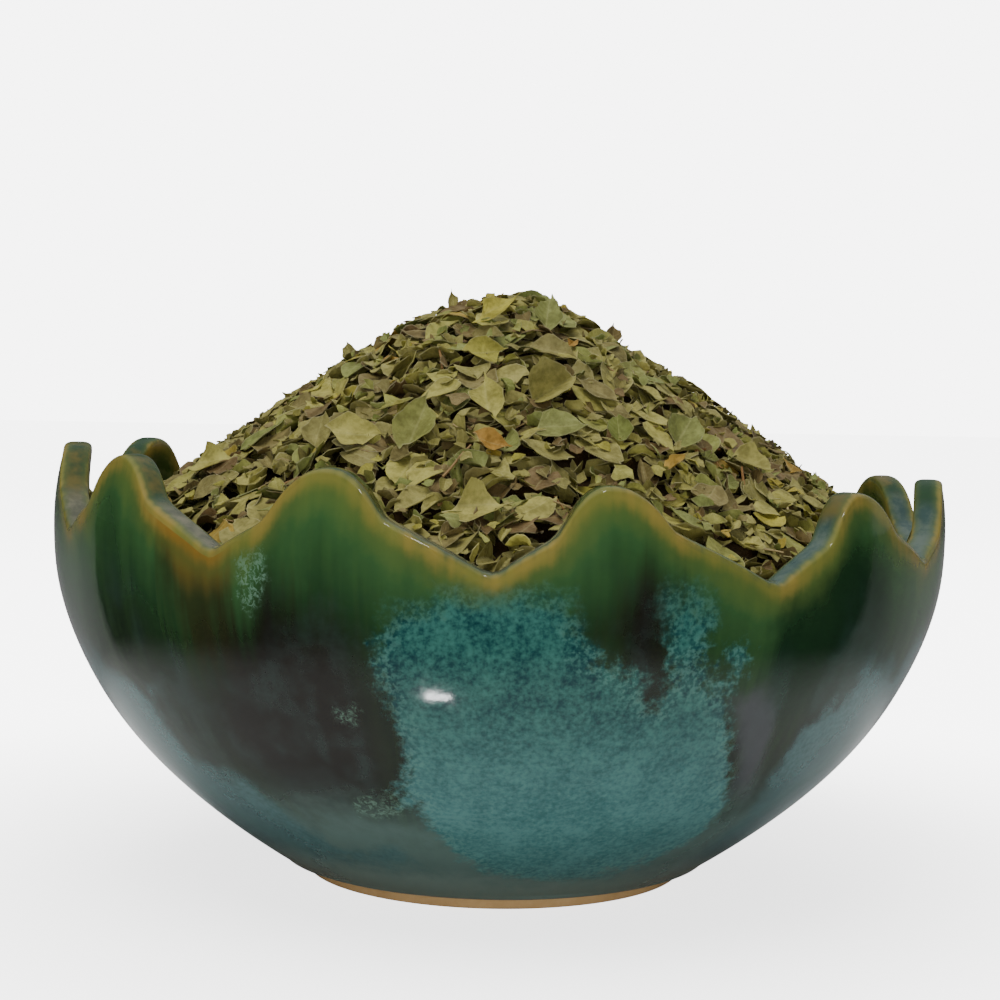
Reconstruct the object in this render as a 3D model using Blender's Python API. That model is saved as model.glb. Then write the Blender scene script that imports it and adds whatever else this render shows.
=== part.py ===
"""A glazed stoneware bowl with a wave-cut rim, heaped with dried Persian thyme leaves.

Metres, +Z up. The origin is the centre of the foot, on the table. -Y is the front of the bowl.
Angles round the bowl are counted from the front, growing towards +X.
"""

import math
import random
from collections import namedtuple

import bmesh
import bpy
from mathutils import Matrix, Vector, noise

MM = 0.001

# The bowl's outside is a belly curve from the foot to its widest circle, and leans in above it.
BELLY_RADIUS = 87.6 * MM
BELLY_HEIGHT = 70.0 * MM
BELLY_START_RADIUS = 43.0 * MM
BELLY_START_HEIGHT = 3.3 * MM
BELLY_FULLNESS = 2.35
LEAN_IN = 2.2 * MM
LEAN_IN_OVER = 15.0 * MM

# The bare foot ring under the glaze, and the shallow recess inside it.
FOOT_RADIUS = 38.0 * MM
FOOT_FLARE = 0.6 * MM
FOOT_HEIGHT = 2.8 * MM
FOOT_RING_WIDTH = 5.0 * MM
RECESS_RADIUS = 31.5 * MM
RECESS_DEPTH = 2.2 * MM

# The wall, thicker towards the floor, and the cut lip on top of it, flat with rounded corners.
LIP_HALF_WIDTH = 2.7 * MM
LIP_HEIGHT = 1.7 * MM
LIP_OUTLINE = ((1.0, 0.0), (0.84, 0.72), (0.4, 1.0), (-0.4, 1.0), (-0.84, 0.72), (-1.0, 0.0))
WALL_ABOVE_FLOOR = 7.0 * MM
WALL_THINS_OVER = 78.0 * MM
FLOOR_HEIGHT = 8.5 * MM
FLOOR_RADIUS = 36.0 * MM
FLOOR_RISE = 0.7 * MM
OUTER_ROWS = tuple(h * MM for h in (3.3, 6.5, 12.0, 20.0, 30.0, 42.0, 54.0, 67.0))

# The rim is cut by hand in twelve waves. Each is a sharp notch and, after it, a round crown that
# reaches some degrees before and after its top. Angles are in degrees, heights in millimetres.
Wave = namedtuple("Wave", "notch notch_height crown crown_height reach_before reach_after")
RIM_WAVES = (
    Wave(-0.7, 66.4, 12.0, 82.1, 5.8, 7.0),
    Wave(32.4, 65.8, 45.2, 81.8, 5.2, 7.8),
    Wave(63.8, 68.8, 77.0, 83.2, 6.5, 7.0),
    Wave(91.0, 68.0, 106.0, 82.0, 7.5, 6.5),
    Wave(120.5, 67.2, 134.0, 82.6, 6.5, 7.5),
    Wave(148.5, 68.4, 161.5, 81.6, 7.0, 6.5),
    Wave(176.5, 67.0, 190.0, 82.8, 6.0, 7.0),
    Wave(205.0, 68.6, 218.5, 81.8, 7.0, 7.0),
    Wave(232.5, 67.4, 246.5, 82.2, 7.5, 6.2),
    Wave(262.5, 69.0, 280.0, 82.4, 7.0, 6.5),
    Wave(294.1, 67.0, 310.0, 82.2, 7.0, 6.2),
    Wave(326.5, 67.3, 341.0, 82.7, 7.4, 6.5),
)
SHOULDER_BEFORE = 73.4 * MM
SHOULDER_AFTER = 75.0 * MM
RAMP_CURVE = 0.85
CROWN_CURVE = 2.2
RIM_SLOPE = math.tan(math.radians(-1.7))
TURNED_HEIGHT = 82.0 * MM
CUT_FROM_HEIGHT = 50.0 * MM
PETAL_BULGE = 0.8 * MM
PETAL_FADES_OVER = 24.0 * MM

# The heap of leaves: a cone with a rounded top, at the slope that dry leaves hold.
GAP = 0.4 * MM
HEAP_TOP = 114.4 * MM
HEAP_SLOPE = 0.77
HEAP_ROUNDING = 20.0 * MM
HEAP_LUMP = 1.1 * MM
LUMP_SPACING = 17.0 * MM
CORE_DEPTH = 1.6 * MM
CORE_COLUMNS = 40
CORE_RINGS = tuple(r * MM for r in (72.0, 61.0, 49.0, 37.0, 25.0, 13.0))

# The leaves that stand out of the heap, larger than life so that few of them still cover it.
LEAF_SEED = 25
LEAF_COUNT = 162
LEAF_LENGTH = (14.0 * MM, 18.0 * MM)
LEAF_WIDTH_SHARE = (0.78, 0.95)
LEAF_THICKNESS = 0.8 * MM
LEAF_FOLD = (-0.22, 0.32)
LEAF_ARCH = (-0.1, 0.16)
LEAF_LIFT = (0.0, 0.6 * MM)
LEAF_TILT_DEG = (6.0, 17.0)
LEAF_RIM_RADIUS = 78.0 * MM
GOLDEN_ANGLE = math.pi * (3.0 - math.sqrt(5.0))

# A few bits of stalk lie among the leaves, at true size.
STALK_COUNT = 16
STALK_LENGTH = (9.0 * MM, 17.0 * MM)
STALK_RADIUS = 0.55 * MM
STALK_LIFT = (0.8 * MM, 1.4 * MM)
STALK_SIDES = 4


def clear_scene():
    for obj in list(bpy.data.objects):
        bpy.data.objects.remove(obj)


def smoothstep(t):
    t = min(1.0, max(0.0, t))
    return t * t * (3.0 - 2.0 * t)


def clay_glaze(name, colour, roughness):
    material = bpy.data.materials.new(name)
    material.use_nodes = True
    shader = material.node_tree.nodes["Principled BSDF"]
    shader.inputs["Base Color"].default_value = (*colour, 1.0)
    shader.inputs["Roughness"].default_value = roughness
    shader.inputs["Metallic"].default_value = 0.0
    material.diffuse_color = (*colour, 1.0)
    return material


def add_object(name, bm, collection, material=None):
    mesh = bpy.data.meshes.new(name)
    bm.to_mesh(mesh)
    bm.free()
    obj = bpy.data.objects.new(name, mesh)
    collection.objects.link(obj)
    if material:
        mesh.materials.append(material)
    return obj


# The bowl

def outer_radius(height):
    if height <= BELLY_HEIGHT:
        rise = 1.0 - max(0.0, height - BELLY_START_HEIGHT) / (BELLY_HEIGHT - BELLY_START_HEIGHT)
        swell = BELLY_RADIUS - BELLY_START_RADIUS
        return BELLY_START_RADIUS + swell * (1.0 - rise**BELLY_FULLNESS)
    return BELLY_RADIUS - LEAN_IN * ((height - BELLY_HEIGHT) / LEAN_IN_OVER) ** 2


def wall_thickness(height):
    share = min(1.0, height / WALL_THINS_OVER)
    return WALL_ABOVE_FLOOR + share * (2.0 * LIP_HALF_WIDTH - WALL_ABOVE_FLOOR)


def inner_point(height, inset=0.0):
    """The point of the inside that faces the outside's at this height, across the wall."""
    step = 0.1 * MM
    lean = (outer_radius(height + step) - outer_radius(height - step)) / (2.0 * step)
    outward = Vector((1.0, -lean)).normalized()
    point = Vector((outer_radius(height), height))
    return point - outward * (wall_thickness(height) + inset)


def inner_wall(inset=0.0):
    """The inside from the top row down to the middle of the floor, as (radius, height)."""
    wall = [inner_point(row, inset) for row in reversed(OUTER_ROWS[1:])]
    floor_edge = Vector((FLOOR_RADIUS - inset, FLOOR_HEIGHT + FLOOR_RISE + inset))
    return [*wall, floor_edge, Vector((0.0, FLOOR_HEIGHT + inset))]


def bowl_profile():
    """The whole wall's outline, from the middle of the underside round to the middle of the floor."""
    foot = [
        Vector((0.0, RECESS_DEPTH)),
        Vector((RECESS_RADIUS, RECESS_DEPTH)),
        Vector((FOOT_RADIUS - FOOT_RING_WIDTH, 0.0)),
        Vector((FOOT_RADIUS, 0.0)),
        Vector((FOOT_RADIUS + FOOT_FLARE, FOOT_HEIGHT)),
    ]
    outside = [Vector((outer_radius(row), row)) for row in OUTER_ROWS]
    lip_base = TURNED_HEIGHT - LIP_HEIGHT
    lip_middle = outer_radius(lip_base) - LIP_HALF_WIDTH
    lip = [
        Vector((lip_middle + across * LIP_HALF_WIDTH, lip_base + up * LIP_HEIGHT))
        for across, up in LIP_OUTLINE
    ]
    return [*foot, *outside, *lip, *inner_wall()]


def wave_at(degrees):
    """The wave at this angle, the notch after it and its height, and the angle counted on from it."""
    turn = (degrees - RIM_WAVES[0].notch) % 360.0 + RIM_WAVES[0].notch
    wave = max((wave for wave in RIM_WAVES if wave.notch <= turn), key=lambda wave: wave.notch)
    after = RIM_WAVES[(RIM_WAVES.index(wave) + 1) % len(RIM_WAVES)]
    end = after.notch if after.notch > wave.notch else after.notch + 360.0
    return wave, end, after.notch_height * MM, turn


def rim_height(degrees):
    """The cut rim's height: ramps up out of the notches to a shoulder, and a round crown above it."""
    wave, end, end_height, turn = wave_at(degrees)
    away = abs(turn - wave.crown)
    if turn < wave.crown:
        notch, notch_height = wave.notch, wave.notch_height * MM
        reach, shoulder = wave.reach_before, SHOULDER_BEFORE
    else:
        notch, notch_height = end, end_height
        reach, shoulder = wave.reach_after, SHOULDER_AFTER
    if away < reach:
        dome = 1.0 - (away / reach) ** CROWN_CURVE
        height = shoulder + (wave.crown_height * MM - shoulder) * dome
    else:
        ramp = abs(turn - notch) / (abs(wave.crown - notch) - reach)
        height = notch_height + (shoulder - notch_height) * ramp**RAMP_CURVE
    return height + RIM_SLOPE * BELLY_RADIUS * math.sin(math.radians(degrees))


def petal_bulge(degrees, height):
    """How far the wall swells out under a crown, from nothing at the notches beside it."""
    wave, end, _, turn = wave_at(degrees)
    notch = wave.notch if turn < wave.crown else end
    share = 1.0 - abs(turn - wave.crown) / abs(wave.crown - notch)
    rise = 0.5 + (height - CUT_FROM_HEIGHT) / PETAL_FADES_OVER
    return PETAL_BULGE * smoothstep(share) * smoothstep(rise)


def column_angles():
    """The angles of the bowl's columns: each notch, ramp and shoulder has one, and each crown three."""
    angles = []
    for wave in RIM_WAVES:
        end = wave_at(wave.crown)[1]
        before = wave.crown - wave.reach_before
        after = wave.crown + wave.reach_after
        angles += [wave.notch, (wave.notch + before) / 2.0, before]
        angles += [wave.crown - 0.6 * wave.reach_before, wave.crown, wave.crown + 0.6 * wave.reach_after]
        angles += [after, (after + end) / 2.0]
    return angles


def cut_rim(bm, angles):
    """Turns the even columns of a spun wall to the given angles, and bends its top to the wavy rim."""
    lip_base = TURNED_HEIGHT - LIP_HEIGHT
    step = 360.0 / len(angles)
    for vert in bm.verts:
        radius = math.hypot(vert.co.x, vert.co.y)
        if radius < 0.1 * MM:
            continue
        column = round(math.degrees(math.atan2(vert.co.x, -vert.co.y)) / step) % len(angles)
        degrees = angles[column]
        height = vert.co.z
        top = rim_height(degrees) - LIP_HEIGHT
        if height >= lip_base:
            height += top - lip_base
        elif height > CUT_FROM_HEIGHT:
            share = (height - CUT_FROM_HEIGHT) / (lip_base - CUT_FROM_HEIGHT)
            height = CUT_FROM_HEIGHT + share * (top - CUT_FROM_HEIGHT)
        body_height = min(height, top)
        radius += outer_radius(body_height) - outer_radius(min(vert.co.z, lip_base))
        radius += petal_bulge(degrees, body_height)
        turn = math.radians(degrees)
        vert.co = Vector((radius * math.sin(turn), -radius * math.cos(turn), height))


def spin_profile(points, columns):
    """A closed solid turned from an outline that starts and ends on the axis, its first column in front."""
    bm = bmesh.new()
    verts = [bm.verts.new((0.0, -point.x, point.y)) for point in points]
    edges = [bm.edges.new(pair) for pair in zip(verts, verts[1:])]
    bmesh.ops.spin(
        bm,
        geom=[*verts, *edges],
        cent=(0.0, 0.0, 0.0),
        axis=(0.0, 0.0, 1.0),
        angle=2.0 * math.pi,
        steps=columns,
        use_merge=True,
    )
    bmesh.ops.remove_doubles(bm, verts=bm.verts, dist=0.001 * MM)
    bmesh.ops.recalc_face_normals(bm, faces=bm.faces)
    return bm


def build_bowl(collection):
    angles = column_angles()
    bm = spin_profile(bowl_profile(), len(angles))
    cut_rim(bm, angles)
    glaze = clay_glaze("bowl_glaze", (0.045, 0.145, 0.125), 0.12)
    bowl = add_object("bowl", bm, collection, glaze)
    bowl.data.shade_smooth()
    bowl.data.set_sharp_from_angle(angle=math.radians(50.0))
    return bowl


# The heap of leaves

def heap_height(x, y):
    radius = math.hypot(x, y)
    cone = HEAP_SLOPE * (math.hypot(radius, HEAP_ROUNDING) - HEAP_ROUNDING)
    lump = noise.noise(Vector((x, y, 0.0)) / LUMP_SPACING) * HEAP_LUMP
    return HEAP_TOP - cone + lump


def heap_normal(x, y):
    step = 2.0 * MM
    slope_x = (heap_height(x + step, y) - heap_height(x - step, y)) / (2.0 * step)
    slope_y = (heap_height(x, y + step) - heap_height(x, y - step)) / (2.0 * step)
    return Vector((-slope_x, -slope_y, 1.0)).normalized()


def inside_limit(height):
    """How far out a leaf may reach at this height and stay clear of the bowl's wall."""
    wall = inner_wall(inset=GAP)
    for above, below in zip(wall, wall[1:]):
        if below.y <= height <= above.y:
            share = (height - below.y) / (above.y - below.y)
            return below.x + share * (above.x - below.x)
    return wall[0].x


def build_core(collection, material):
    """The mass of leaves under the visible ones: it fills the bowl, and the leaves stand out of it."""
    wall = inner_wall(inset=GAP)
    edge_radius = wall[0].x
    edge = Vector((edge_radius, heap_height(0.0, edge_radius) - CORE_DEPTH))
    rings = [Vector((radius, heap_height(0.0, radius))) for radius in CORE_RINGS]
    filling = [point for point in wall if point.y < edge.y - 3.0 * MM]
    outline = [filling[-1], *reversed(filling[:-1]), edge, *rings, Vector((0.0, HEAP_TOP))]
    bm = spin_profile(outline, CORE_COLUMNS)
    for vert in bm.verts:
        radius = math.hypot(vert.co.x, vert.co.y)
        if vert.co.z > edge.y + MM and radius < edge_radius - MM:
            vert.co.z = heap_height(vert.co.x, vert.co.y) - CORE_DEPTH
    return add_object("leaf_heap", bm, collection, material)


def leaf_outline(rng, length, width):
    """Six points round an oval leaf with a blunt tip, each a little off, and more so on a torn one."""
    oval = ((-0.5, 0.0), (-0.24, 0.42), (0.22, 0.44), (0.5, 0.03), (0.2, -0.42), (-0.26, -0.44))
    torn = rng.random() < 0.35
    wander = 0.13 if torn else 0.05
    return [
        Vector(
            (
                length * (along + rng.uniform(-wander, wander)),
                width * (across + rng.uniform(-wander, wander)),
                0.0,
            )
        )
        for along, across in oval
    ]


def add_leaf(name, rng, collection, place):
    """One blade of even thickness, its two halves folded along the midrib, set in the heap by place."""
    length = rng.uniform(*LEAF_LENGTH)
    width = length * rng.uniform(*LEAF_WIDTH_SHARE)
    fold = rng.uniform(*LEAF_FOLD)
    arch = rng.uniform(*LEAF_ARCH)
    points = leaf_outline(rng, length, width)
    for point in points:
        point.z = fold * abs(point.y) - arch * abs(point.x)
    bm = bmesh.new()
    verts = [bm.verts.new(point) for point in points]
    base, left_low, left_high, tip, right_high, right_low = verts
    for corners in (
        (base, tip, left_high),
        (base, left_high, left_low),
        (base, right_high, tip),
        (base, right_low, right_high),
    ):
        bm.faces.new(corners)
    grown = bmesh.ops.extrude_face_region(bm, geom=list(bm.faces))
    raised = [item for item in grown["geom"] if isinstance(item, bmesh.types.BMVert)]
    bmesh.ops.translate(bm, verts=raised, vec=(0.0, 0.0, LEAF_THICKNESS))
    bmesh.ops.recalc_face_normals(bm, faces=bm.faces)
    bmesh.ops.transform(bm, matrix=place, verts=bm.verts)
    keep_inside(bm)
    return add_object(name, bm, collection)


def add_stalk(name, rng, collection, place):
    bm = bmesh.new()
    bmesh.ops.create_cone(
        bm,
        cap_ends=True,
        segments=STALK_SIDES,
        radius1=STALK_RADIUS,
        radius2=0.8 * STALK_RADIUS,
        depth=rng.uniform(*STALK_LENGTH),
        matrix=Matrix.Rotation(math.radians(90.0), 4, "Y"),
    )
    bmesh.ops.transform(bm, matrix=place, verts=bm.verts)
    keep_inside(bm)
    return add_object(name, bm, collection)


def keep_inside(bm):
    """Bends what would reach into the bowl's wall back to its inside."""
    for vert in bm.verts:
        radius = math.hypot(vert.co.x, vert.co.y)
        limit = inside_limit(vert.co.z) - GAP
        if radius > limit:
            vert.co.x *= limit / radius
            vert.co.y *= limit / radius


def place_on_heap(rng, index, count, lift_range):
    """A spot on the heap from an even spiral, with the piece turned and tilted at random about it."""
    lift = rng.uniform(*lift_range)
    radius = LEAF_RIM_RADIUS * math.sqrt((index + 0.5) / count)
    angle = index * GOLDEN_ANGLE + rng.uniform(-0.1, 0.1)
    x, y = radius * math.sin(angle), -radius * math.cos(angle)
    level = heap_height(x, y) - CORE_DEPTH + lift
    upright = heap_normal(x, y).to_track_quat("Z", "Y").to_matrix().to_4x4()
    tilt_deg = rng.choice((-1.0, 1.0)) * rng.uniform(*LEAF_TILT_DEG)
    tilt = Matrix.Rotation(math.radians(tilt_deg), 4, "X")
    turn = Matrix.Rotation(rng.uniform(0.0, 2.0 * math.pi), 4, "Z")
    return Matrix.Translation((x, y, level)) @ upright @ turn @ tilt


def build_heap(collection, helpers):
    rng = random.Random(LEAF_SEED)
    leaf = clay_glaze("thyme_leaf", (0.27, 0.26, 0.08), 0.75)
    heap = build_core(collection, leaf)
    for index in range(LEAF_COUNT):
        place = place_on_heap(rng, index, LEAF_COUNT, LEAF_LIFT)
        add_leaf(f"leaf_{index:03d}", rng, helpers, place)
    for index in range(STALK_COUNT):
        place = place_on_heap(rng, index, STALK_COUNT, STALK_LIFT)
        add_stalk(f"stalk_{index:02d}", rng, helpers, place)
    join_pieces(heap, helpers)
    return heap


def join_pieces(body, helpers):
    """Fuses every object of the helper collection into the body, and removes them."""
    union = body.modifiers.new("join", "BOOLEAN")
    union.operation = "UNION"
    union.operand_type = "COLLECTION"
    union.collection = helpers
    union.solver = "MANIFOLD"
    graph = bpy.context.evaluated_depsgraph_get()
    joined = bpy.data.meshes.new_from_object(body.evaluated_get(graph))
    body.modifiers.clear()
    body.data = joined
    for piece in list(helpers.objects):
        bpy.data.objects.remove(piece)
    bm = bmesh.new()
    bm.from_mesh(joined)
    keep_main_skin(bm)
    straight = [vert for vert in bm.verts if len(vert.link_edges) == 2]
    bmesh.ops.dissolve_verts(bm, verts=straight)
    bmesh.ops.triangulate(bm, faces=bm.faces)
    bm.to_mesh(joined)
    bm.free()


def keep_main_skin(bm):
    """Drops the walls of hollows that the fused leaves seal in, and scraps that touch nothing."""
    skins = []
    left = set(bm.verts)
    while left:
        skin = {left.pop()}
        edge_of_skin = list(skin)
        while edge_of_skin:
            vert = edge_of_skin.pop()
            near = [edge.other_vert(vert) for edge in vert.link_edges]
            fresh = [other for other in near if other not in skin]
            skin.update(fresh)
            edge_of_skin += fresh
        left -= skin
        skins.append(skin)
    main_skin = max(skins, key=len)
    dropped = [vert for vert in bm.verts if vert not in main_skin]
    bmesh.ops.delete(bm, geom=dropped, context="VERTS")


def main():
    clear_scene()
    scene = bpy.context.scene.collection
    model = bpy.data.collections.new("bowl_of_dried_thyme")
    helpers = bpy.data.collections.new("pieces_to_join")
    scene.children.link(model)
    scene.children.link(helpers)
    build_bowl(model)
    build_heap(model, helpers)


main()
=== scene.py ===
"""The looks of a glazed stoneware bowl with a wave-cut rim, heaped with dried Persian thyme leaves.

The bowl's wall is turned from its own outline and cut to the waves, and its glaze is laid on in
pours, runs and a golden rim. The leaves are let down one by one on a mound until it is full.
"""

import math
import random
from collections import namedtuple

import bmesh
import bpy
import numpy as np
from mathutils import Matrix, Vector, kdtree, noise


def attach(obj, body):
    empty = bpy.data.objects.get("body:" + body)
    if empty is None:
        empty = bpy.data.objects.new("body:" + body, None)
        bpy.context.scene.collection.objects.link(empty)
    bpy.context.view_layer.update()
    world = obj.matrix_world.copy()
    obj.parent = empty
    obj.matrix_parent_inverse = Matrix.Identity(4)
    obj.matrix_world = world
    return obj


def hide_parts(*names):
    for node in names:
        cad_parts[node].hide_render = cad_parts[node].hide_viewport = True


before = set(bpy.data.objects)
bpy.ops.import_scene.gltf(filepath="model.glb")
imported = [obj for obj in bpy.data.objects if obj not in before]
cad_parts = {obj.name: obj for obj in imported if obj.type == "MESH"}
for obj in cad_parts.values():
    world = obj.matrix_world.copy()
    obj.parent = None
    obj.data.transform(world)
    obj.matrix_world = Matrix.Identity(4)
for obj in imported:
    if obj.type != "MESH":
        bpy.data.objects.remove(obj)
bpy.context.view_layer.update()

# Sizes are in millimetres and angles in degrees. A mesh is made in metres from them.
# Angles round the bowl are counted from the front (-Y), growing towards +X.
MM = 0.001
PHOTO_WIDTH = 1000.0

# The camera stands where the photograph's did.
CAMERA_PLACE = (0.0, -405.3, 97.4)
CAMERA_PITCH = 3.3
CAMERA_ROLL = 1.0
FOCAL_PIXELS = 2006.5
SENSOR_WIDTH = 36.0

# The turned wall.
BELLY_RADIUS = 87.6
BELLY_HEIGHT = 70.0
BELLY_START_RADIUS = 43.0
BELLY_START_HEIGHT = 3.3
BELLY_FULLNESS = 2.35
LEAN_IN = 2.2
LEAN_IN_OVER = 15.0
FOOT_RADIUS = 38.0
FOOT_FLARE = 0.6
FOOT_HEIGHT = 2.8
FOOT_RING_WIDTH = 5.0
RECESS_RADIUS = 31.5
RECESS_DEPTH = 2.2
LIP_HALF_WIDTH = 2.7
LIP_HEIGHT = 1.7
LIP_ROUNDNESS = 0.62
LIP_POINTS = 14
WALL_ABOVE_FLOOR = 7.0
WALL_THINS_OVER = 78.0
INSIDE_START = 6.5
FLOOR_HEIGHT = 8.5
FLOOR_RADIUS = 36.0
FLOOR_RISE = 0.7
TURNED_HEIGHT = 82.0
CUT_FROM_HEIGHT = 50.0
PETAL_BULGE = 0.8
PETAL_FADES_OVER = 24.0
HAND_WOBBLE = 0.3
WOBBLES_ROUND = 2.1
WOBBLE_HEIGHT = 26.0
OUTSIDE_ROWS = 46
INSIDE_ROWS = 26
COLUMNS_A_STRETCH = 10

Wave = namedtuple("Wave", "notch notch_height crown crown_height reach_before reach_after")
RIM_WAVES = tuple(Wave(*row) for row in (
    (-0.7, 66.4, 12, 82.1, 5.8, 7),
    (32.4, 65.8, 45.2, 81.8, 5.2, 7.8),
    (63.8, 68.8, 77, 83.2, 6.5, 7),
    (91, 68, 106, 82, 7.5, 6.5),
    (120.5, 67.2, 134, 82.6, 6.5, 7.5),
    (148.5, 68.4, 161.5, 81.6, 7, 6.5),
    (176.5, 67, 190, 82.8, 6, 7),
    (205, 68.6, 218.5, 81.8, 7, 7),
    (232.5, 67.4, 246.5, 82.2, 7.5, 6.2),
    (262.5, 69, 280, 82.4, 7, 6.5),
    (294.1, 67, 310, 82.2, 7, 6.2),
    (326.5, 67.3, 341, 82.7, 7.4, 6.5),
))
SHOULDER_BEFORE = 73.4
SHOULDER_AFTER = 75.0
RAMP_CURVE = 0.85
CROWN_CURVE = 2.2
RIM_SLOPE = math.tan(math.radians(-1.7))

# Where the glazes lie on the wall, as outlines of (angle, height).
TEAL_POUR = (
    (-13.5, 54.3), (-11.2, 60.7), (-7.1, 64.5), (-2.1, 66.6), (3.4, 64.8), (7.8, 62.3),
    (9.2, 57), (10.6, 53.4), (14.6, 52.2), (16.6, 48.1), (18.1, 45.4), (19, 48),
    (17.9, 54.9), (17.7, 62.3), (18.8, 64.7), (22.1, 64.3), (23.7, 60.9), (23.9, 54.6),
    (24.8, 49.4), (27.2, 47.4), (29.9, 38.1), (36.8, 23), (36, 15.9), (30, 10.4),
    (14, 8.2), (1.4, 9.8), (-6.5, 14.5), (-10.3, 20.8), (-10.3, 24.7), (-13.4, 25.7),
    (-11.4, 35), (-12.2, 44.1),
)
LOW_TEAL_BAND = (
    (43.8, 23.9), (40.6, 31.7), (41.5, 38.4), (46.1, 41.1), (49.8, 42.7), (51.4, 47.7),
    (62.3, 46.6), (65, 51.5), (67.9, 54.8), (80, 49), (95, 55), (112, 46),
    (128, 52), (142, 43), (158, 54), (175, 47), (190, 53), (207, 43),
    (222, 50), (240, 45), (256, 53), (272, 48), (288, 46), (302.7, 44.6),
    (312.3, 42.7), (311.1, 36.8), (312.1, 29.3), (322.2, 25.3), (331.4, 16.1), (344.2, 15.6),
    (346, 12), (320, 8.5), (270, 9.5), (200, 8), (130, 9.5), (70, 8.5), (44, 11),
)
SMALL_DRIP = ((26.1, 54.4), (27.7, 55.5), (29, 53.4), (28.9, 49), (27.2, 47.4))
LACE_PATCH = ((-29.3, 69.1), (-26.2, 70), (-25.7, 65.6), (-26.3, 60.6), (-27.9, 59), (-29.5, 61.1))
LOWER_SPLASH = ((-19.3, 26.9), (-12.7, 27.4), (-13.5, 23.6), (-20.7, 22.7))
UPPER_SPLASH = ((-18.7, 43.1), (-15.8, 43.8), (-16.1, 41.6), (-19, 41.3))
DUSK_RUN = (
    (-33.2, 53.9), (-21.6, 61.9), (-15.9, 55.8), (-12.1, 31.1), (-15.7, 26.7), (-28.9, 24.8),
    (-38.1, 31.3), (-38.1, 42.6),
)
DEEP_GREEN_RUN = (
    (33.5, 58), (37.5, 66), (42, 68.5), (50.5, 65.5), (51.5, 56), (47, 44), (43, 41),
    (35.5, 41),
)
DARK_GAP = ((11, 58.3), (15.2, 64.8), (17.5, 63.1), (18, 48), (13.9, 55))
PLUM_RUN = ((27.9, 45.6), (31.9, 47), (36.7, 39.1), (39.7, 24.7), (36.7, 25.2))
AMBER_RUN = ((-44, 80), (-33, 76), (-30.4, 64.1), (-32, 50), (-36.9, 47.5), (-39.4, 60))
# Every outline of each glaze: those of the front, and their kin round the back with the degrees that
# they are turned on, the millimetres they are lifted, and -1 where they are mirrored.
GLAZE_OUTLINES = {
    "teal_pour": (
        (TEAL_POUR,), (SMALL_DRIP,), (TEAL_POUR, 118, -1, -1), (TEAL_POUR, 214, 1),
        (SMALL_DRIP, 252, 6, -1), (SMALL_DRIP, 142, 4),
    ),
    "low_band": ((LOW_TEAL_BAND,),),
    "plum": ((PLUM_RUN,), (PLUM_RUN, 96), (PLUM_RUN, 236)),
    "lace": (
        (LACE_PATCH,), (UPPER_SPLASH,), (LOWER_SPLASH,), (LACE_PATCH, 105, -3),
        (LACE_PATCH, 205, 1, -1),
    ),
    "dusk": (
        (DUSK_RUN,), (DARK_GAP,), (DUSK_RUN, 122), (DUSK_RUN, 242, 2, -1), (DUSK_RUN, 300, -2),
    ),
    "amber": (
        (AMBER_RUN,), (AMBER_RUN, 125, 1), (AMBER_RUN, 230, 0, -1), (AMBER_RUN, 200),
    ),
    "deep_green": (
        (DEEP_GREEN_RUN,), (DEEP_GREEN_RUN, 84, 1), (DEEP_GREEN_RUN, 176, -1),
        (DEEP_GREEN_RUN, 228),
    ),
}
FIELD_REACH = 20.0
NEARLY_ROUND = 200.0
BAND_MIDDLE = 195.0

# The mound that the leaves build up to, and how thick their layer is.
HEAP_TOP = 114.0
HEAP_SLOPE = 0.77
HEAP_ROUNDING = 20.0
HEAP_LUMP = 1.1
LUMP_SPACING = 17.0
LAYER_DEPTH = 6.5
STANDS_PROUD = 2.3
HIGHEST_LEAF = 116.4
WALL_GAP = 0.4
CELL = 0.6
GRID_REACH = 84.0


def smoothstep(t):
    t = min(1.0, max(0.0, t))
    return t * t * (3.0 - 2.0 * t)


def finished_mesh(name, bm):
    mesh = bpy.data.meshes.new(name)
    bm.to_mesh(mesh)
    bm.free()
    return mesh


def put_in_scene(name, data):
    placed = bpy.data.objects.new(name, data)
    bpy.context.scene.collection.objects.link(placed)
    return placed


def add_piece(name, bm, material, replaced):
    """A finished mesh as a piece of the object, which stands for a node of the frame."""
    mesh = finished_mesh(name, bm)
    mesh.materials.append(material)
    mesh.shade_smooth()
    piece = put_in_scene(name, mesh)
    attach(piece, "root")
    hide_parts(replaced)
    return piece


# Node trees

def shader_colour(*steps):
    """A colour given in the 0 to 255 steps of a screen, as the linear light of a colour socket."""
    shares = [step / 255.0 for step in steps]
    light = [share / 12.92 if share <= 0.04045 else ((share + 0.055) / 1.055) ** 2.4 for share in shares]
    return (*light, 1.0)


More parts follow.
